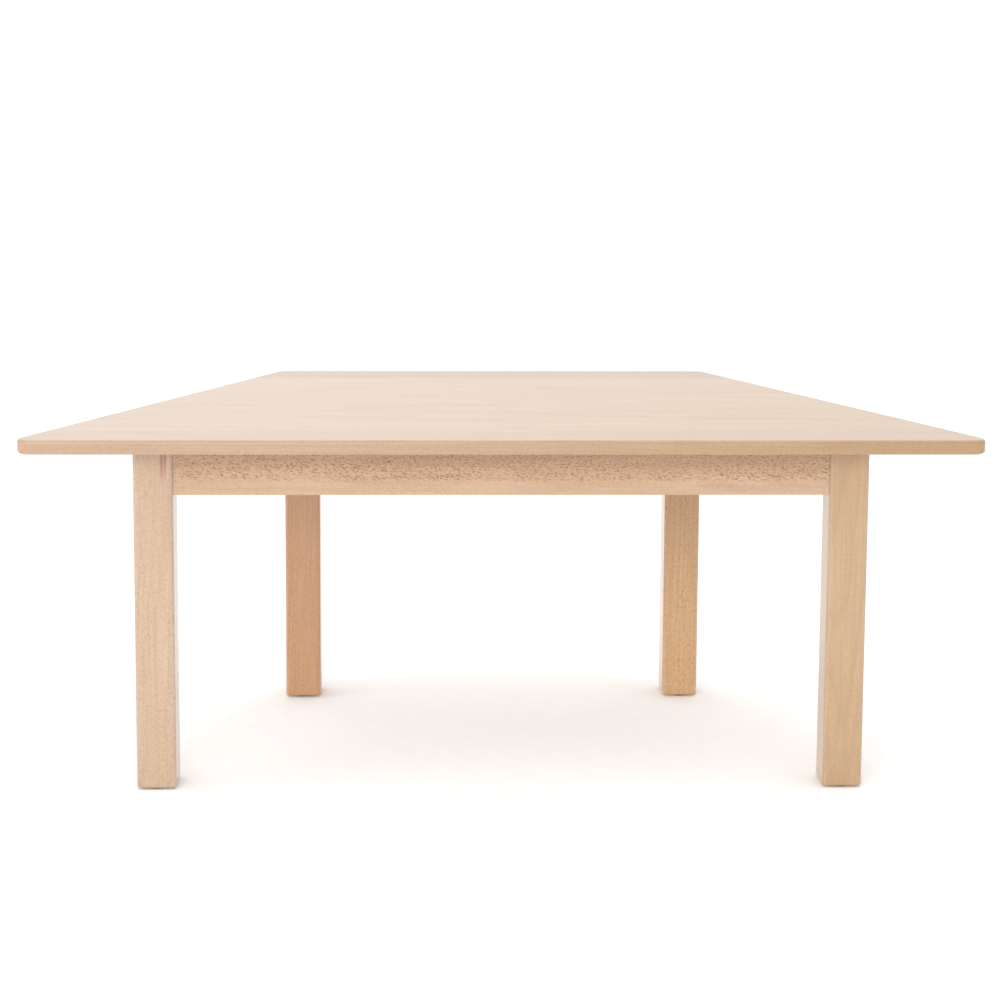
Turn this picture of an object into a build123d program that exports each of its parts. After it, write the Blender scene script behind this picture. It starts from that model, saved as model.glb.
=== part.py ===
from build123d import *
import os
from math import cos, radians, sin, tan

# A low trapezoidal table in solid beech: a glued panel of eight full-length boards on a frame of
# four square legs and four rails. Millimetres. +X runs along the long front edge, +Z is up, and the
# origin is on the floor under the middle of the top. The long edge faces -Y.

# Tabletop
overall_width = 1192.0        # across the rounded ends of the long edge
overall_depth = 520.0
overall_height = 460.0
top_thickness = 18.0
side_angle = 60.0             # between the long edge and each slanted side
corner_radius = 16.0          # in plan, at all four corners
upper_edge_radius = 4.0
lower_edge_radius = 4.0
board_count = 8               # boards glued edge to edge, front to rear

# Legs
leg_side = 50.0
leg_edge_radius = 5.0
foot_edge_radius = 3.0
leg_inset = 50.0              # leg faces behind the long edge and in front of the short edge
front_leg_outer = 461.0       # from the middle of the table to the outer faces of the front legs
rear_leg_outer = 296.0        # the same for the rear legs

# Rails
rail_height = 62.0
rail_thickness = 20.0
rail_setback = 4.0            # outer faces of the rails behind the faces of the legs
rail_edge_radius = 1.5

# Dowels, two in each end of each rail
dowel_diameter = 8.0
dowel_length = 30.0
dowel_end_chamfer = 1.0
dowel_rise = 16.0             # above and below the middle of the rail

# Corner blocks, glued behind the legs and screwed up into the top
block_height = 30.0
block_gap = 2.0               # clear of the leg
front_block_length = 64.0     # along the front rail
front_block_depth = 39.0      # from behind the leg towards the rear
rear_block_length = 79.0      # along the rear rail
rear_block_depth = 58.0       # from before the leg towards the front

# Countersunk screws of the corner blocks
block_screw_diameter = 4.5
block_screw_length = 40.0
block_screw_head = 8.5
front_block_screws = ((-21.0, 18.0), (1.0, 42.0))      # X from the leg's inner face, Y from the rail
rear_block_screws = ((-31.0, -14.0), (4.0, -44.0))

# Steel angle brackets between rails and top
bracket_arm = 22.0
bracket_width = 16.0
bracket_thickness = 2.0
bracket_bend_radius = 3.0     # outside of the bend
bracket_end_radius = 4.0
bracket_hole_distance = 14.0  # from the outer corner of the bend
bracket_slot_travel = 4.0     # lets the solid top swell and shrink
front_bracket_x = 170.0       # two brackets on the front rail, this far from the middle
rear_bracket_x = 100.0
side_bracket_board = 4        # the board above the bracket of each side rail

# Pan-head screws of the brackets
bracket_screw_diameter = 4.0
bracket_screw_length = 14.0
bracket_screw_head = 8.0
bracket_screw_head_height = 2.5
bracket_screw_head_slope = 1.2
bracket_hole_clearance = 0.25
screw_tip_length = 3.0
cross_recess_width = 1.0
cross_recess_depth = 1.6

# Foot glides, pushed into the ends of the legs
glide_diameter = 40.0
glide_thickness = 2.0
glide_edge_radius = 0.6
glide_stud_diameter = 8.0
glide_stud_length = 12.0

# Worked out from the above
front_edge = -overall_depth / 2
rear_edge = overall_depth / 2
underside = overall_height - top_thickness
side_run = 1.0 / tan(radians(side_angle))      # how far a slanted side moves in X for each mm in Y
sharp_front = overall_width / 2 - corner_radius + corner_radius / tan(radians(side_angle / 2))
sharp_rear = sharp_front - overall_depth * side_run
board_width = overall_depth / board_count
front_leg_y = front_edge + leg_inset + leg_side / 2
rear_leg_y = rear_edge - leg_inset - leg_side / 2
front_leg_x = front_leg_outer - leg_side / 2
rear_leg_x = rear_leg_outer - leg_side / 2
rail_middle = underside - rail_height / 2
rail_cross_width = rail_thickness / sin(radians(side_angle))   # a side rail measured along X
side_rail_start = front_leg_y + leg_side / 2   # rear faces of the front legs
side_rail_end = rear_leg_y - leg_side / 2      # front faces of the rear legs
front_rail_y = front_edge + leg_inset + rail_setback + rail_thickness / 2
rear_rail_y = rear_edge - leg_inset - rail_setback - rail_thickness / 2
front_rail_inner = front_rail_y + rail_thickness / 2
rear_rail_inner = rear_rail_y - rail_thickness / 2
standing = (Align.CENTER, Align.CENTER, Align.MIN)


def side_rail_centre(y):
    """X of the middle of the right side rail at a given Y."""
    start = front_leg_outer - rail_setback - rail_cross_width / 2
    return start - (y - side_rail_start) * side_run


def side_rail_inner(y):
    """X of the inner face of the right side rail at a given Y."""
    return side_rail_centre(y) - rail_cross_width / 2


def mirrored(solid):
    """The same solid on the other side of the table."""
    return mirror(solid, about=Plane.YZ)


def cut_away(solid, fasteners):
    """The solid with a hole for each fastener that enters it."""
    for fastener in fasteners:
        if solid.bounding_box().overlaps(fastener.bounding_box()):
            solid = solid - fastener
    return solid


def tabletop_panel():
    outline = Polyline(
        (-sharp_front, front_edge),
        (sharp_front, front_edge),
        (sharp_rear, rear_edge),
        (-sharp_rear, rear_edge),
        close=True,
    )
    face = make_face(outline)
    face = fillet(face.vertices(), corner_radius)
    panel = extrude(Pos(0, 0, underside) * face, top_thickness)
    panel = fillet(panel.faces().sort_by(Axis.Z)[-1].edges(), upper_edge_radius)
    return fillet(panel.faces().sort_by(Axis.Z)[0].edges(), lower_edge_radius)


def tabletop_board(panel, number):
    """One of the boards of the panel, counted from the long edge."""
    middle = front_edge + (number - 0.5) * board_width
    slice_box = Pos(0, middle, underside) * Box(2 * overall_width, board_width, 4 * top_thickness)
    return panel & slice_box


def leg(x, y):
    height = underside - glide_thickness
    post = Pos(x, y, glide_thickness) * Box(leg_side, leg_side, height, align=standing)
    post = fillet(post.edges().filter_by(Axis.Z), leg_edge_radius)
    return fillet(post.faces().sort_by(Axis.Z)[0].edges(), foot_edge_radius)


def foot_glide(x, y):
    disc = Pos(x, y, 0) * Cylinder(glide_diameter / 2, glide_thickness, align=standing)
    disc = fillet(disc.edges().sort_by(Axis.Z)[0], glide_edge_radius)
    stud_height = glide_thickness + glide_stud_length
    stud = Pos(x, y, 0) * Cylinder(glide_stud_diameter / 2, stud_height, align=standing)
    return disc + stud


def straight_rail(half_length, y):
    bar = Pos(0, y, rail_middle) * Box(2 * half_length, rail_thickness, rail_height)
    return fillet(bar.edges().filter_by(Axis.X), rail_edge_radius)


def right_side_rail():
    """Runs parallel to the slanted side, with both ends cut to lie flat on the legs."""
    half = rail_cross_width / 2
    start = side_rail_centre(side_rail_start)
    end = side_rail_centre(side_rail_end)
    outline = Polyline(
        (start - half, side_rail_start),
        (start + half, side_rail_start),
        (end + half, side_rail_end),
        (end - half, side_rail_end),
        close=True,
    )
    bar = extrude(Pos(0, 0, underside - rail_height) * make_face(outline), rail_height)
    along_rail = Axis((0, 0, 0), (-cos(radians(side_angle)), sin(radians(side_angle)), 0))
    return fillet(bar.edges().filter_by(along_rail), rail_edge_radius)


def dowel(x, y, z, direction):
    """A plain round dowel, centred on the joint between a rail and a leg."""
    pin = Cylinder(dowel_diameter / 2, dowel_length)
    pin = chamfer(pin.edges(), dowel_end_chamfer)
    return Plane((x, y, z), z_dir=direction) * pin


def rail_dowels():
    dowels = []
    side_shift = dowel_length / 4 * side_run   # keeps a dowel in the middle of the slanted rail
    for z in (rail_middle - dowel_rise, rail_middle + dowel_rise):
        for side in (-1, 1):
            dowels.append(dowel(side * (front_leg_outer - leg_side), front_rail_y, z, (1, 0, 0)))
            dowels.append(dowel(side * (rear_leg_outer - leg_side), rear_rail_y, z, (1, 0, 0)))
            front_x = side_rail_centre(side_rail_start) - side_shift
            rear_x = side_rail_centre(side_rail_end) + side_shift
            dowels.append(dowel(side * front_x, side_rail_start, z, (0, 1, 0)))
            dowels.append(dowel(side * rear_x, side_rail_end, z, (0, 1, 0)))
    return dowels


def corner_block(points):
    base = Pos(0, 0, underside - block_height) * make_face(Polyline(*points, close=True))
    return extrude(base, block_height)


def front_right_corner_block():
    """Fills the sharp corner between the front rail and the right side rail, round the leg."""
    leg_face = front_leg_outer - leg_side - block_gap
    notch_y = side_rail_start + block_gap
    side_end_y = notch_y + front_block_depth
    return corner_block([
        (leg_face - front_block_length, front_rail_inner),
        (leg_face, front_rail_inner),
        (leg_face, notch_y),
        (side_rail_inner(notch_y), notch_y),
        (side_rail_inner(side_end_y), side_end_y),
    ])


def rear_right_corner_block():
    """Fills the wide corner between the rear rail and the right side rail, round the leg."""
    leg_face = rear_leg_outer - leg_side - block_gap
    notch_y = side_rail_end - block_gap
    side_end_y = notch_y - rear_block_depth
    return corner_block([
        (leg_face - rear_block_length, rear_rail_inner),
        (leg_face, rear_rail_inner),
        (leg_face, notch_y),
        (side_rail_inner(notch_y), notch_y),
        (side_rail_inner(side_end_y), side_end_y),
    ])


def cross_recess(z):
    """The driver's cross, cut up into a screw head from its face at height z."""
    arm = Box(4 * cross_recess_width, cross_recess_width, cross_recess_depth)
    other_arm = Box(cross_recess_width, 4 * cross_recess_width, cross_recess_depth)
    return Pos(0, 0, z + cross_recess_depth / 2) * (arm + other_arm)


def countersunk_screw():
    """Points up, with the face of its head at z = 0."""
    shank = block_screw_diameter / 2
    head = block_screw_head / 2
    head_height = head - shank
    profile = Polyline(
        (0, 0),
        (head, 0),
        (shank, head_height),
        (shank, block_screw_length - screw_tip_length),
        (0, block_screw_length),
        close=True,
    )
    body = revolve(Plane.XZ * make_face(profile), Axis.Z)
    return body, body - cross_recess(0)


def pan_head_screw():
    """Points up, with the underside of its head at z = 0."""
    shank = bracket_screw_diameter / 2
    head = bracket_screw_head / 2
    profile = Polyline(
        (0, -bracket_screw_head_height),
        (head - bracket_screw_head_slope, -bracket_screw_head_height),
        (head, bracket_screw_head_slope - bracket_screw_head_height),
        (head, 0),
        (shank, 0),
        (shank, bracket_screw_length - screw_tip_length),
        (0, bracket_screw_length),
        close=True,
    )
    body = revolve(Plane.XZ * make_face(profile), Axis.Z)
    return body - cross_recess(-bracket_screw_head_height)


def block_screw_places():
    """Two screws in each corner block, between the leg and the block's long inner face."""
    front_leg_face = front_leg_outer - leg_side
    rear_leg_face = rear_leg_outer - leg_side
    right_side = [(front_leg_face + x, front_rail_inner + y) for x, y in front_block_screws]
    right_side += [(rear_leg_face + x, rear_rail_inner + y) for x, y in rear_block_screws]
    return [(side * x, y) for side in (-1, 1) for x, y in right_side]


def block_screws():
    """The outer forms that the wood is drilled for, and the screws with their recesses."""
    form, screw = countersunk_screw()
    places = [Pos(x, y, underside - block_height) for x, y in block_screw_places()]
    return [place * form for place in places], [place * screw for place in places]


def angle_bracket():
    """In the corner at the origin: one arm hangs on the face X = 0, the other lies under Z = 0."""
    profile = Polyline(
        (0, 0),
        (bracket_arm, 0),
        (bracket_arm, -bracket_thickness),
        (bracket_thickness, -bracket_thickness),
        (bracket_thickness, -bracket_arm),
        (0, -bracket_arm),
        close=True,
    )
    face = Plane.XZ * make_face(profile)
    body = extrude(face, bracket_width / 2, both=True)
    bends = body.edges().filter_by(Axis.Y)
    body = fillet(bends.sort_by_distance((0, 0, 0))[0], bracket_bend_radius)
    inner_corner = (bracket_thickness, 0, -bracket_thickness)
    inner_bend = body.edges().filter_by(Axis.Y).sort_by_distance(inner_corner)[0]
    body = fillet(inner_bend, bracket_bend_radius - bracket_thickness)
    arm_end = body.edges().filter_by(Axis.Z).group_by(Axis.X)[-1]
    hanging_end = body.edges().filter_by(Axis.X).group_by(Axis.Z)[0]
    body = fillet(arm_end + hanging_end, bracket_end_radius)
    hole_radius = bracket_screw_diameter / 2 + bracket_hole_clearance
    slot_outline = SlotCenterToCenter(bracket_slot_travel, 2 * hole_radius)
    slot = Pos(bracket_hole_distance, 0, 0) * extrude(slot_outline, bracket_thickness, both=True)
    hole = Pos(0, 0, -bracket_hole_distance) * Rot(0, 90, 0) * Cylinder(hole_radius, 4 * bracket_thickness)
    return body - slot - hole


def bracket_places():
    """Where each bracket's corner is, and the turn that makes it face into the frame."""
    side_y = front_edge + (side_bracket_board - 0.5) * board_width
    side_x = side_rail_inner(side_y)
    side_turn = 270 - side_angle
    return [
        Location((-front_bracket_x, front_rail_inner, underside), (0, 0, 90)),
        Location((front_bracket_x, front_rail_inner, underside), (0, 0, 90)),
        Location((-rear_bracket_x, rear_rail_inner, underside), (0, 0, -90)),
        Location((rear_bracket_x, rear_rail_inner, underside), (0, 0, -90)),
        Location((side_x, side_y, underside), (0, 0, side_turn)),
        Location((-side_x, side_y, underside), (0, 0, 180 - side_turn)),
    ]


def bracket_screws():
    """Two for each bracket, one up into the top and one level into the rail."""
    screw = pan_head_screw()
    up = Location((bracket_hole_distance, 0, -bracket_thickness))
    level = Location((bracket_thickness, 0, -bracket_hole_distance), (0, -90, 0))
    return [place * local * screw for place in bracket_places() for local in (up, level)]


def build():
    parts = {}
    dowels = rail_dowels()
    block_screw_forms, screws_in_blocks = block_screws()
    screws_in_brackets = bracket_screws()

    panel = tabletop_panel()
    for number in range(1, board_count + 1):
        board = tabletop_board(panel, number)
        board = cut_away(board, block_screw_forms + screws_in_brackets)
        parts[f"tabletop_board_{number}"] = board

    leg_places = {
        "front_left": (-front_leg_x, front_leg_y),
        "front_right": (front_leg_x, front_leg_y),
        "rear_left": (-rear_leg_x, rear_leg_y),
        "rear_right": (rear_leg_x, rear_leg_y),
    }
    for place, (x, y) in leg_places.items():
        glide = foot_glide(x, y)
        parts[f"{place}_leg"] = cut_away(leg(x, y), dowels + [glide])
        parts[f"{place}_foot_glide"] = glide

    rails = {
        "front_rail": straight_rail(front_leg_outer - leg_side, front_rail_y),
        "rear_rail": straight_rail(rear_leg_outer - leg_side, rear_rail_y),
        "right_side_rail": right_side_rail(),
        "left_side_rail": mirrored(right_side_rail()),
    }
    for name, rail in rails.items():
        parts[name] = cut_away(rail, dowels + screws_in_brackets)

    blocks = {
        "front_right_corner_block": front_right_corner_block(),
        "front_left_corner_block": mirrored(front_right_corner_block()),
        "rear_right_corner_block": rear_right_corner_block(),
        "rear_left_corner_block": mirrored(rear_right_corner_block()),
    }
    for name, block in blocks.items():
        parts[name] = cut_away(block, block_screw_forms)

    parts["rail_dowels"] = Compound(dowels)
    parts["corner_block_screws"] = Compound(screws_in_blocks)
    parts["top_fixing_brackets"] = Compound([place * angle_bracket() for place in bracket_places()])
    parts["bracket_screws"] = Compound(screws_in_brackets)
    return parts


os.makedirs("parts", exist_ok=True)
for node_name, node_shape in build().items():
    export_step(node_shape, f"parts/{node_name}.step")
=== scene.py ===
from math import cos, radians, sin

import bpy
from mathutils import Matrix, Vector


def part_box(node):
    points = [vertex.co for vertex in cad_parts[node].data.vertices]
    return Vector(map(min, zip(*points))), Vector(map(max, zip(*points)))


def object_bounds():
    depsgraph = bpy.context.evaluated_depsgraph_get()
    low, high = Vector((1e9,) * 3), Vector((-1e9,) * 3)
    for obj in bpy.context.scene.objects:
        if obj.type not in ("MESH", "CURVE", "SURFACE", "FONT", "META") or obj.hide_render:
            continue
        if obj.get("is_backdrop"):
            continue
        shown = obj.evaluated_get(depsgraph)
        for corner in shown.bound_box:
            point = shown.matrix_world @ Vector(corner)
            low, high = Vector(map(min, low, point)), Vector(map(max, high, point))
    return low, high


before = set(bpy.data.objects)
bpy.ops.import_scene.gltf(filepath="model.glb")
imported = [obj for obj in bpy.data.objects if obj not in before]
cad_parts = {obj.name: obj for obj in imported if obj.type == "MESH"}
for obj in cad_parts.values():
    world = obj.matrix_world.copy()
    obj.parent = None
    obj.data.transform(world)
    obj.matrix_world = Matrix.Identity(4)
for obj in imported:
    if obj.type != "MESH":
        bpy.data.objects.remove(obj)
cad_low, cad_high = (corner.copy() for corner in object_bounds())

# Metres. +X runs along the long front edge, the long edge faces -Y, and +Z is up.

# ---- Camera: the viewing angle of the reference view ----
CAMERA_DISTANCE = 2.587       # from the long edge of the top
CAMERA_SIDE = -0.096
CAMERA_HEIGHT = 0.980
CAMERA_TILT = 6.848           # degrees below level
CAMERA_ROLL = -0.268
CAMERA_TURN = 1.283           # degrees to the right
CAMERA_LENS = 77.48           # millimetres, on a sensor of this width:
CAMERA_SENSOR = 36.0
CAMERA_SHIFT = (0.025, -0.229)
CAMERA_REACH = 100.0

# ---- Light: name, place, width, height, power ----
WORLD_STRENGTH = 1.04
SOFTBOXES = (
    ("overhead", (-0.2, -0.3, 3.2), 4.0, 3.0, 40.0),
    ("front", (-1.1, -3.7, 2.0), 2.2, 1.3, 45.0),
    ("left_side", (-4.3, -0.9, 1.3), 2.6, 1.8, 26.0),
)

# ---- Floor ----
FLOOR_SIZE = 60.0             # half its width
FLOOR_GAP = 0.0003            # below the glides
FLOOR_DARK = (0.86, 0.86, 0.86)
FLOOR_LIGHT = (0.89, 0.89, 0.89)
FLOOR_GLOW = 0.12

# ---- Colours, linear ----
BEECH_PALE = (0.520, 0.368, 0.246)
BEECH_WARM = (0.458, 0.295, 0.182)
BEECH_LATEWOOD = (0.392, 0.242, 0.145)
BEECH_FLECK = (0.246, 0.106, 0.050)
BEECH_END_GRAIN = (0.350, 0.206, 0.120)
BEECH_STAIN = (0.300, 0.105, 0.052)

ZINC_DARK = (0.56, 0.57, 0.59)
ZINC_LIGHT = (0.70, 0.70, 0.69)
GLIDE_BROWN = (0.200, 0.095, 0.052)
GLIDE_SCUFF = (0.310, 0.190, 0.125)

# ---- Factors on the beech colours ----
# They were fitted to mean colours in the reference view, so they may hold some of its light.
LEFT_END_PAINTED_LIGHT = (1.055, 1.075, 1.13)        # the two ends of the top: painted light on the left, painted shade on the right
RIGHT_END_PAINTED_SHADE = (0.955, 0.920, 0.780)
EDGE_PAINTED_SHADE = (0.905, 0.885, 0.850)     # painted shade on the upright edge of the top
UPPER_ARRIS_PAINTED_SHADE = (0.87, 0.80, 0.72)       # painted shade on the rounding between edge and top
# painted highlight on the rounded arrises of the legs
LEG_ARRIS_PAINTED_HIGHLIGHT = (1.00, 1.06, 1.22)
RAIL_PAINTED_SHADE = (0.945, 0.900, 0.815)          # painted shade on the upper front rail, under the overhang of the top
RAIL_PAINTED_LIGHT = (1.055, 1.070, 1.110)          # painted light along its lower side, below that shadow
INNER_TONE = (0.95, 0.92, 0.88)             # blocks and dowels

# ---- Beech figure: the scales are along the grain, then across it ----
RING_WIDTH = 0.0032
RING_WAVE = 0.014
WAVE_SCALE = (3.2, 14.0)
BROAD_SCALE = (4.5, 38.0)
STREAK_SCALE = (9.0, 420.0)
PORE_LENGTH = 0.006
PORE_WIDTH = 0.00035
RAY_SIZE = (0.0034, 0.0011, 0.012)          # along the grain, along the rings, across the rings
RAY_SWAY = 1.1                              # how far the rays weave to the side, in widths
RAY_SWAY_SCALE = (160.0, 160.0)
RAY_PATCH_SCALE = (14.0, 60.0)
RAY_STRENGTH = 0.50
STAIN_FRAY = 0.012
STAIN_FADE = 0.045                          # how far down the stain fades out
LACQUER_ROUGHNESS = 0.36
LACQUER_COAT = 0.7
LACQUER_COAT_ROUGHNESS = 0.14
LACQUER_IOR = 1.5
WOOD_RELIEF = 0.00006
INNER_SHEEN = 0.7                           # blocks and dowels have less lacquer
TONE_REACH = 0.5                            # metres from a piece's middle to where a tone is full

SLANT = radians(60)                         # between the long edge and the slanted sides


class Graph:
    """A short way to write a material's nodes: every call adds one node and returns its output."""

    def __init__(self, name):
        self.material = bpy.data.materials.new(name)
        self.material.use_nodes = True
        self.tree = self.material.node_tree
        self.shader = self.tree.nodes["Principled BSDF"]

    def node(self, kind, inputs=None, **settings):
        made = self.tree.nodes.new(kind)
        for key, value in settings.items():
            setattr(made, key, value)
        for key, value in (inputs or {}).items():
            self.put(made.inputs[key], value)
        return made

    def put(self, socket, value):
        if isinstance(value, bpy.types.NodeSocket):
            self.tree.links.new(value, socket)
        else:
            socket.default_value = value

    def math(self, operation, first, second=0.0, third=0.0):
        made = self.node("ShaderNodeMath", {0: first, 1: second, 2: third}, operation=operation)
        return made.outputs[0]

    def vector(self, operation, first, second=(0.0, 0.0, 0.0)):
        made = self.node("ShaderNodeVectorMath", {0: first, 1: second}, operation=operation)
        return made.outputs["Value"] if operation == "DOT_PRODUCT" else made.outputs["Vector"]

    def join(self, x, y, z):
        return self.node("ShaderNodeCombineXYZ", {0: x, 1: y, 2: z}).outputs[0]

    def noise(self, place, scale=1.0, detail=2.0, roughness=0.5):
        made = self.node(
            "ShaderNodeTexNoise",
            {"Vector": place, "Scale": scale, "Detail": detail, "Roughness": roughness},
        )
        return made.outputs[0]

    def span(self, value, low, high, to_low=0.0, to_high=1.0):
        made = self.node(
            "ShaderNodeMapRange",
            {"Value": value, 1: low, 2: high, 3: to_low, 4: to_high},
            interpolation_type="SMOOTHSTEP",
        )
        return made.outputs[0]

    def mix(self, factor, first, second, blend="MIX"):
        made = self.node("ShaderNodeMix", data_type="RGBA", blend_type=blend)
        self.put(made.inputs["Factor"], factor)
        for socket, value in ((made.inputs[6], first), (made.inputs[7], second)):
            self.put(socket, value if isinstance(value, bpy.types.NodeSocket) else (*value, 1.0))
        return made.outputs[2]

    def bump(self, height, depth):
        made = self.node("ShaderNodeBump", {"Height": height, "Distance": depth, "Strength": 1.0})
        self.put(self.shader.inputs["Normal"], made.outputs[0])

    def set(self, **values):
        for key, value in values.items():
            self.put(self.shader.inputs[key.replace("_", " ")], value)


def stain_mask(g, spot, streak, middle_x, half_width, start, strength):
    """Where a reddish streak shows: narrow, frayed and fading out downwards."""
    parts = g.node("ShaderNodeSeparateXYZ", {0: spot})
    offset = g.math("ABSOLUTE", g.math("SUBTRACT", parts.outputs[0], middle_x))
    frayed = g.math("MULTIPLY_ADD", g.math("SUBTRACT", streak, 0.5), STAIN_FRAY, offset)
    mask = g.span(frayed, 0.3 * half_width, half_width, strength, 0.0)
    return g.math("MULTIPLY", mask, g.span(parts.outputs[2], start, start + STAIN_FADE))


class Log:
    """Where each point of a piece lay in its log: along the fibres, round the log and out from its
    middle. grain is the way of the fibres, heart points from the middle of the piece to the middle
    of the log, drift tilts the fibres against the piece, and seed tells pieces apart."""

    def __init__(self, g, centre, grain, heart, drift, seed):
        self.g = g
        self.seed = seed
        self.grain = Vector(grain).normalized()
        radius = Vector(heart).length
        up = -Vector(heart).normalized()
        side = self.grain.cross(up).normalized()
        spot = g.node("ShaderNodeTexCoord").outputs["Object"]
        self.spot = g.vector("SUBTRACT", spot, tuple(centre))
        self.length = self.measure(self.grain)
        self.across = g.math("MULTIPLY_ADD", self.length, drift[0], self.measure(side))
        out = g.math("ADD", self.measure(up), radius)
        self.out = g.math("MULTIPLY_ADD", self.length, drift[1], out)
        self.along = g.math("ADD", self.length, seed)

        # Slow waves in the fibres bend the rings
        wave = g.noise(self.place(WAVE_SCALE, self.across, self.out), detail=1.5)
        out_squared = g.math("MULTIPLY", self.out, self.out)
        reach = g.math("SQRT", g.math("MULTIPLY_ADD", self.across, self.across, out_squared))
        self.reach = g.math("MULTIPLY_ADD", wave, RING_WAVE, reach)
        self.turn = g.math("MULTIPLY", g.math("ARCTAN2", self.across, self.out), radius)

    def measure(self, direction):
        return self.g.vector("DOT_PRODUCT", self.spot, tuple(direction))

    def place(self, scale, first=None, second=None):
        """A place for a noise: along the fibres, then by default round the log and out from it.
        scale is one number for the way along the fibres and one or two for the ways across."""
        g = self.g
        first = self.turn if first is None else first
        second = self.reach if second is None else second
        return g.join(
            g.math("MULTIPLY", self.along, scale[0]),
            g.math("MULTIPLY", first, scale[1]),
            g.math("MULTIPLY", second, scale[-1]),
        )


def latewood(g, log):
    """Growth rings, some wider and some stronger than others, dark just inside each ring's end."""
    count = g.math("DIVIDE", log.reach, RING_WIDTH)
    pace = g.noise(g.join(g.math("MULTIPLY", count, 0.23), log.seed, 0.0), detail=0.0)
    count = g.math("MULTIPLY_ADD", pace, 1.6, count)
    ring = g.math("FRACT", count)
    late = g.math("MULTIPLY", g.math("POWER", ring, 3.0), g.span(ring, 0.90, 1.0, 1.0, 0.0))
    depth = g.noise(g.join(g.math("MULTIPLY", count, 0.31), log.seed, 5.0), detail=1.0)
    return g.math("MULTIPLY", late, g.span(depth, 0.25, 0.75, 0.35, 1.0))


def ray_marks(g, log, slant):
    """Rays: thin sheets that run out from the heart, cut across as short dark dashes."""
    leaning = g.math("MULTIPLY_ADD", log.along, slant, log.turn)
    place = log.place([1 / size for size in RAY_SIZE], leaning)
    sway = g.noise(log.place(RAY_SWAY_SCALE), detail=1.0)
    place = g.vector("ADD", place, g.join(0.0, g.math("MULTIPLY", sway, RAY_SWAY), 0.0))
    ray = g.noise(place, detail=1.0, roughness=0.4)
    patch = g.noise(log.place(RAY_PATCH_SCALE), detail=1.0)
    return g.math("MULTIPLY", g.span(ray, 0.50, 0.66), g.span(patch, 0.30, 0.60, 0.68, 1.0))


def tinted(g, factor, colour, tone):
    """The colour times the tone, as far as the factor says."""
    return g.mix(factor, colour, g.mix(1.0, colour, tone, blend="MULTIPLY"))


def shade_tabletop_edge(g, facing, colour):
    """Painted shade: a darker tone on the upright edge of the top, and darker again on the rounding
    above it.
    """
    upright = g.vector("DOT_PRODUCT", facing, (0.0, 0.0, 1.0))
    edge = g.span(g.math("ABSOLUTE", upright), 0.25, 0.92, 1.0, 0.0)
    colour = tinted(g, edge, colour, EDGE_PAINTED_SHADE)
    level = g.span(upright, 0.96, 0.998, 1.0, 0.0)
    rounding = g.math("MULTIPLY", g.span(upright, 0.15, 0.55), level)
    return tinted(g, rounding, colour, UPPER_ARRIS_PAINTED_SHADE)


def paint_highlight_on_leg_arrises(g, facing, colour):
    """Painted highlight: a slightly greyer, paler tone on the rounded arrises of a leg."""
    parts = g.node("ShaderNodeSeparateXYZ", {0: facing})
    turned = g.math("ABSOLUTE", g.math("MULTIPLY", parts.outputs[0], parts.outputs[1]))
    return tinted(g, g.span(turned, 0.04, 0.40), colour, LEG_ARRIS_PAINTED_HIGHLIGHT)


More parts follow.
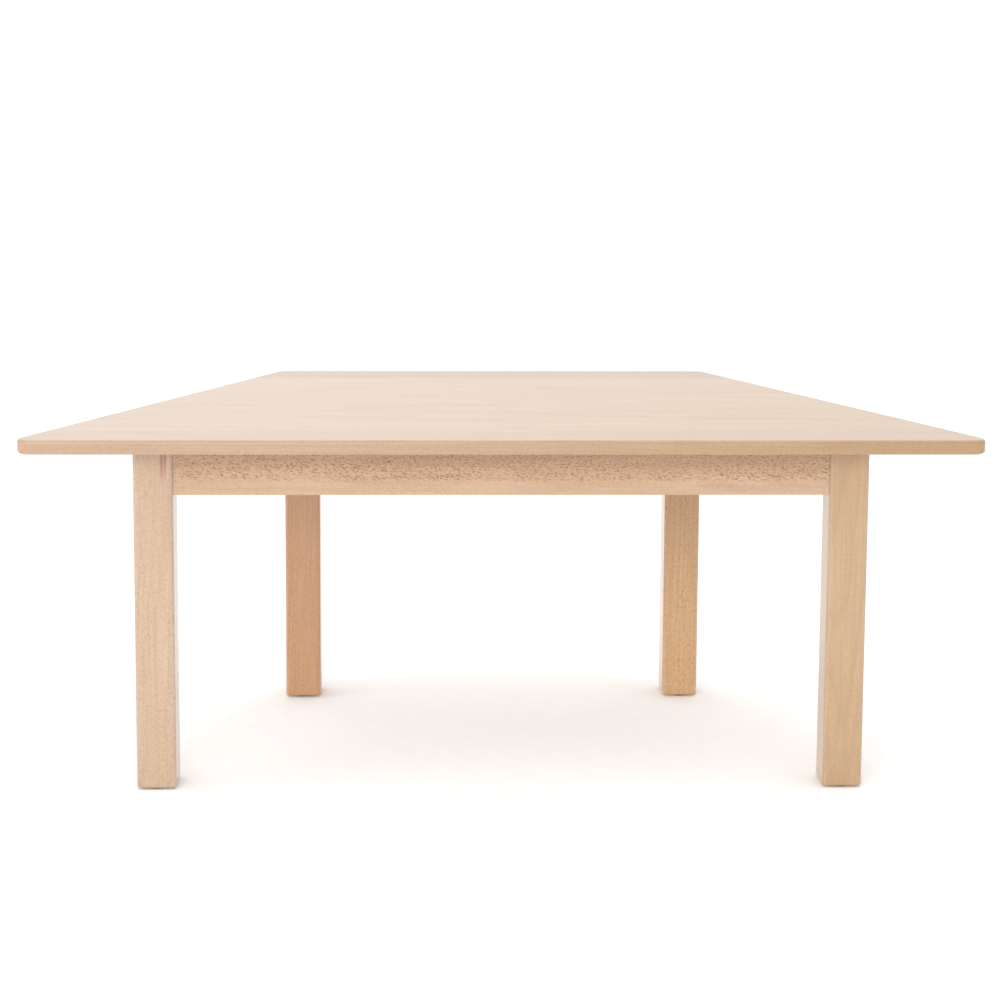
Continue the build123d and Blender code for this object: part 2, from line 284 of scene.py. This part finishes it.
def beech(name, centre, grain, heart, drift, tone, fleck, seed, sheen=1.0, far_tone=None,
          edge=None, rail_shade_edge=None, slant=0.0, stain=None):
    """Lacquered beech. grain, heart, drift and seed are as in Log, tone is a factor on the colours,
    fleck is the strength of the rays and sheen is how smooth the lacquer is. With a far_tone, tone
    is full at TONE_REACH before the middle of the piece and far_tone at TONE_REACH past it, so a
    short piece shows only the part between. edge is a function that paints shade or a highlight on
    edges by the way they face, rail_shade_edge the height of a painted shadow's edge (painted
    darker above, painted lighter below with the rays faded), slant how much the rays lean, and
    stain the last four values of stain_mask."""
    g = Graph(name)
    log = Log(g, centre, grain, heart, drift, seed)
    late = latewood(g, log)
    rays = ray_marks(g, log, slant)
    pore_scale = (1 / PORE_LENGTH, 1 / PORE_WIDTH)
    pore = g.noise(log.place(pore_scale, log.across, log.out), detail=2.0, roughness=0.6)
    broad = g.noise(log.place(BROAD_SCALE), detail=3.0, roughness=0.55)
    streak = g.noise(log.place(STREAK_SCALE), detail=2.0)
    facing = g.node("ShaderNodeTexCoord").outputs["Normal"]
    # Painted light: below the edge of the rail's painted shadow the rays fade, as light washes them
    # out
    if rail_shade_edge is not None:
        height = g.node("ShaderNodeSeparateXYZ", {0: log.spot}).outputs[2]
        in_rail_shade = g.span(height, rail_shade_edge - 0.004, rail_shade_edge + 0.004)
        rays = g.math("MULTIPLY", rays, g.span(in_rail_shade, 0.0, 1.0, 0.22, 1.0))

    colour = g.mix(g.math("MULTIPLY", late, 0.62), BEECH_PALE, BEECH_LATEWOOD)
    colour = g.mix(g.span(broad, 0.30, 0.72, 0.0, 0.62), colour, BEECH_WARM)
    colour = g.mix(g.span(streak, 0.35, 0.75, 0.0, 0.34), colour, BEECH_LATEWOOD)
    colour = g.mix(g.span(pore, 0.50, 0.76, 0.0, 0.42), colour, BEECH_LATEWOOD)
    colour = g.mix(g.math("MULTIPLY", rays, min(RAY_STRENGTH * fleck, 1.0)), colour, BEECH_FLECK)
    # Painted shade on the front rail under the overhang of the top, painted light below it
    if rail_shade_edge is not None:
        rail_shade_and_light = g.mix(g.span(height, rail_shade_edge - 0.008, rail_shade_edge + 0.022), RAIL_PAINTED_LIGHT, RAIL_PAINTED_SHADE)
        colour = g.mix(1.0, colour, rail_shade_and_light, blend="MULTIPLY")
    if edge is not None:
        colour = edge(g, facing, colour)
    end_grain = g.math("ABSOLUTE", g.vector("DOT_PRODUCT", facing, tuple(log.grain)))
    colour = g.mix(g.span(end_grain, 0.15, 0.95, 0.0, 0.55), colour, BEECH_END_GRAIN)
    if stain is not None:
        colour = g.mix(stain_mask(g, log.spot, streak, *stain), colour, BEECH_STAIN)
    if far_tone is not None:
        tone = g.mix(g.span(log.length, -TONE_REACH, TONE_REACH), tone, far_tone)
    colour = g.mix(1.0, colour, tone, blend="MULTIPLY")

    pore_shine = g.math("SUBTRACT", pore, 0.5)
    roughness = g.math("MULTIPLY_ADD", pore_shine, 0.16, LACQUER_ROUGHNESS / sheen)
    roughness = g.math("MULTIPLY_ADD", rays, -0.05, roughness)
    g.set(Base_Color=colour, Roughness=roughness, IOR=LACQUER_IOR)
    g.set(
        Coat_Weight=min(LACQUER_COAT * sheen, 1.0),
        Coat_Roughness=LACQUER_COAT_ROUGHNESS,
        Coat_IOR=LACQUER_IOR,
    )
    g.bump(g.math("MULTIPLY_ADD", rays, -0.6, pore), WOOD_RELIEF)
    return g.material


def zinc(name, seed):
    """Zinc-plated steel: bright, a little uneven, with fine rubbing marks."""
    g = Graph(name)
    spot = g.node("ShaderNodeTexCoord").outputs["Object"]
    cloud = g.noise(g.vector("ADD", spot, (seed, seed, 0.0)), scale=160.0, detail=4.0)
    rub = g.noise(g.vector("MULTIPLY", spot, (900.0, 9000.0, 2500.0)), detail=2.0)
    colour = g.mix(g.span(cloud, 0.3, 0.7), ZINC_DARK, ZINC_LIGHT)
    g.set(
        Base_Color=colour,
        Metallic=1.0,
        Roughness=g.math("MULTIPLY_ADD", rub, 0.22, g.span(cloud, 0.3, 0.7, 0.22, 0.34)),
    )
    g.bump(rub, 0.00002)
    return g.material


def glide_plastic(name):
    """Dark brown moulded plastic with a fine grain and pale scuffs."""
    g = Graph(name)
    spot = g.node("ShaderNodeTexCoord").outputs["Object"]
    grit = g.noise(spot, scale=1800.0, detail=3.0)
    scuff = g.noise(g.vector("MULTIPLY", spot, (90.0, 260.0, 90.0)), detail=5.0, roughness=0.65)
    colour = g.mix(g.span(scuff, 0.52, 0.74, 0.0, 0.6), GLIDE_BROWN, GLIDE_SCUFF)
    g.set(Base_Color=colour, Roughness=g.math("MULTIPLY_ADD", grit, 0.25, 0.42), IOR=1.49)
    g.bump(grit, 0.00008)
    return g.material


def middle(node):
    low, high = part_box(node)
    return (Vector(low) + Vector(high)) / 2


def paint(node, material):
    """Gives the node's object this material in every slot."""
    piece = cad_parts[node]
    if not piece.data.materials:
        piece.data.materials.append(material)
    for index in range(len(piece.data.materials)):
        piece.data.materials[index] = material


def paint_tabletop():
    """Eight boards, each from its own place in the log and with its own tone."""
    looks = [
        # heart across Y and Z, drift, tone, fleck, seed
        ((0.020, -0.085), (0.010, 0.006), (0.955, 0.925, 0.900), 0.36, 0.31),
        ((-0.045, -0.060), (0.006, 0.010), (1.005, 1.000, 0.990), 0.30, 2.17),
        ((0.000, -0.120), (-0.008, 0.004), (0.990, 0.975, 0.955), 0.25, 4.43),
        ((0.070, -0.040), (0.012, -0.006), (1.000, 0.980, 0.945), 0.25, 6.29),
        ((-0.030, 0.090), (-0.010, 0.008), (1.020, 1.015, 1.010), 0.28, 8.81),
        ((0.015, -0.100), (0.004, -0.010), (1.005, 0.995, 0.985), 0.25, 11.07),
        ((-0.060, -0.070), (0.008, 0.005), (1.025, 1.025, 1.020), 0.25, 13.53),
        ((0.040, 0.075), (-0.006, 0.007), (0.890, 0.850, 0.835), 0.30, 15.91),
    ]
    for number, (heart, drift, tone, fleck, seed) in enumerate(looks, start=1):
        node = f"tabletop_board_{number}"
        # painted light towards the left end of every board, painted shade towards the right
        left_lit_tone = [channel * change for channel, change in zip(tone, LEFT_END_PAINTED_LIGHT)]
        right_shaded_tone = [channel * change for channel, change in zip(tone, RIGHT_END_PAINTED_SHADE)]
        material = beech(
            f"beech_board_{number}", middle(node), (1, 0, 0), (0, *heart), drift,
            left_lit_tone, fleck, seed, far_tone=right_shaded_tone, edge=shade_tabletop_edge,
        )
        paint(node, material)


def paint_legs():
    """Each leg has its own tone; the rear legs' tones are painted shade, and it deepens towards the
    top.
    """
    looks = {
        # heart across X and Y, drift, tone, fleck, seed
        "front_left_leg": ((0.030, 0.070), (0.004, 0.006), (1.025, 1.035, 1.040), 0.55, 1.3),
        "front_right_leg": ((-0.012, 0.052), (0.006, -0.022), (0.970, 0.925, 0.775), 0.34, 3.9),
        # the rear legs' tones: painted shade, darker and more orange, as under the table
        "rear_left_leg": ((0.045, 0.050), (-0.006, 0.008), (1.120, 0.900, 0.700), 0.50, 5.7),
        "rear_right_leg": ((-0.040, 0.060), (0.008, 0.004), (1.270, 1.150, 0.880), 0.75, 7.1),
    }
    # painted shade, deepening towards the tops of the rear legs
    upper_painted_shade = {"rear_left_leg": (1.035, 0.860, 0.640), "rear_right_leg": (0.985, 0.850, 0.620)}
    stains = {
        # middle in X, half width, lower end and strength
        "front_left_leg": (0.0125, 0.0040, 0.165, 0.95),
        "front_right_leg": (0.0040, 0.0100, 0.175, 0.16),
    }
    for node, (heart, drift, tone, fleck, seed) in looks.items():
        material = beech(
            "beech_" + node, middle(node), (0, 0, 1), (*heart, 0), drift, tone, fleck, seed,
            far_tone=upper_painted_shade.get(node), edge=paint_highlight_on_leg_arrises, stain=stains.get(node),
        )
        paint(node, material)


def paint_rails():
    looks = {
        # grain, heart, tone, fleck, seed
        "front_rail": ((1, 0, 0), (0, 0.085, -0.010), (1.020, 0.970, 0.905), 1.9, 1.9),
        "rear_rail": ((1, 0, 0), (0, -0.080, 0.020), (0.980, 0.950, 0.920), 1.2, 4.7),
        "right_side_rail": (
            (-cos(SLANT), sin(SLANT), 0), (-0.070, -0.040, 0.010), (0.985, 0.960, 0.930), 1.2, 6.3,
        ),
        "left_side_rail": (
            (cos(SLANT), sin(SLANT), 0), (0.070, -0.040, 0.015), (0.975, 0.940, 0.900), 1.2, 8.9,
        ),
    }
    # a painted shadow on the front rail under the overhang of the top, edged at this height
    special = {"front_rail": {"rail_shade_edge": -0.012, "slant": -0.22}}
    for node, (grain, heart, tone, fleck, seed) in looks.items():
        material = beech(
            "beech_" + node, middle(node), grain, heart, (0.004, 0.003), tone, fleck, seed,
            **special.get(node, {}),
        )
        paint(node, material)


def paint_inside():
    for seed, corner in enumerate(("front_left", "front_right", "rear_left", "rear_right")):
        block = corner + "_corner_block"
        wood = beech(
            "beech_" + block, middle(block), (1, 0, 0), (0.0, 0.03, -0.07), (0.01, 0.01),
            INNER_TONE, 0.9, 20.0 + seed, INNER_SHEEN,
        )
        paint(block, wood)
        paint(corner + "_foot_glide", glide_plastic("plastic_" + corner + "_glide"))
    wood = beech(
        "beech_dowels", middle("rail_dowels"), (1, 0, 0), (0, 0.02, -0.5), (0, 0),
        INNER_TONE, 0.5, 30.0, INNER_SHEEN,
    )
    paint("rail_dowels", wood)
    paint("top_fixing_brackets", zinc("zinc_brackets", 0.0))
    paint("corner_block_screws", zinc("zinc_block_screws", 3.0))
    paint("bracket_screws", zinc("zinc_bracket_screws", 6.0))


def add_floor():
    """A white floor just under the glides, a touch brighter than its light alone would make it."""
    size = FLOOR_SIZE
    height = cad_low.z - FLOOR_GAP
    corners = [(x * size, y * size, height) for x, y in ((-1, -1), (1, -1), (1, 1), (-1, 1))]
    mesh = bpy.data.meshes.new("floor")
    mesh.from_pydata(corners, [], [(0, 1, 2, 3)])
    floor = bpy.data.objects.new("floor", mesh)
    bpy.context.scene.collection.objects.link(floor)
    g = Graph("floor_paint")
    spot = g.node("ShaderNodeTexCoord").outputs["Object"]
    mottle = g.noise(spot, scale=40.0, detail=3.0)
    g.set(Base_Color=g.mix(g.span(mottle, 0.3, 0.7), FLOOR_DARK, FLOOR_LIGHT), Roughness=0.9)
    g.set(Emission_Color=(1.0, 1.0, 1.0, 1.0), Emission_Strength=FLOOR_GLOW)
    mesh.materials.append(g.material)
    floor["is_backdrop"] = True


def add_softbox(name, place, target, width, height, power):
    light = bpy.data.lights.new(name, "AREA")
    light.shape = "RECTANGLE"
    light.size = width
    light.size_y = height
    light.energy = power
    lamp = bpy.data.objects.new(name, light)
    lamp.location = place
    lamp.rotation_euler = (Vector(target) - Vector(place)).to_track_quat("-Z", "Y").to_euler()
    bpy.context.scene.collection.objects.link(lamp)


def add_lights():
    """A white room with softboxes overhead, in front and on the left."""
    world = bpy.data.worlds.new("studio")
    world.use_nodes = True
    background = world.node_tree.nodes["Background"]
    background.inputs["Color"].default_value = (1.0, 1.0, 1.0, 1.0)
    background.inputs["Strength"].default_value = WORLD_STRENGTH
    bpy.context.scene.world = world
    table = (cad_low + cad_high) / 2
    for name, place, width, height, power in SOFTBOXES:
        add_softbox(name, place, table, width, height, power)


def add_camera():
    camera = bpy.data.cameras.new("camera")
    camera.sensor_width = CAMERA_SENSOR
    camera.lens = CAMERA_LENS
    camera.shift_x, camera.shift_y = CAMERA_SHIFT
    camera.clip_end = CAMERA_REACH
    holder = bpy.data.objects.new("camera", camera)
    holder.location = (CAMERA_SIDE, cad_low.y - CAMERA_DISTANCE, cad_low.z + CAMERA_HEIGHT)
    turns = (90.0 - CAMERA_TILT, CAMERA_ROLL, -CAMERA_TURN)
    holder.rotation_euler = [radians(turn) for turn in turns]
    bpy.context.scene.collection.objects.link(holder)
    bpy.context.scene.camera = holder


bpy.context.scene.view_settings.view_transform = "Standard"
paint_tabletop()
paint_legs()
paint_rails()
paint_inside()
add_floor()
add_lights()
add_camera()
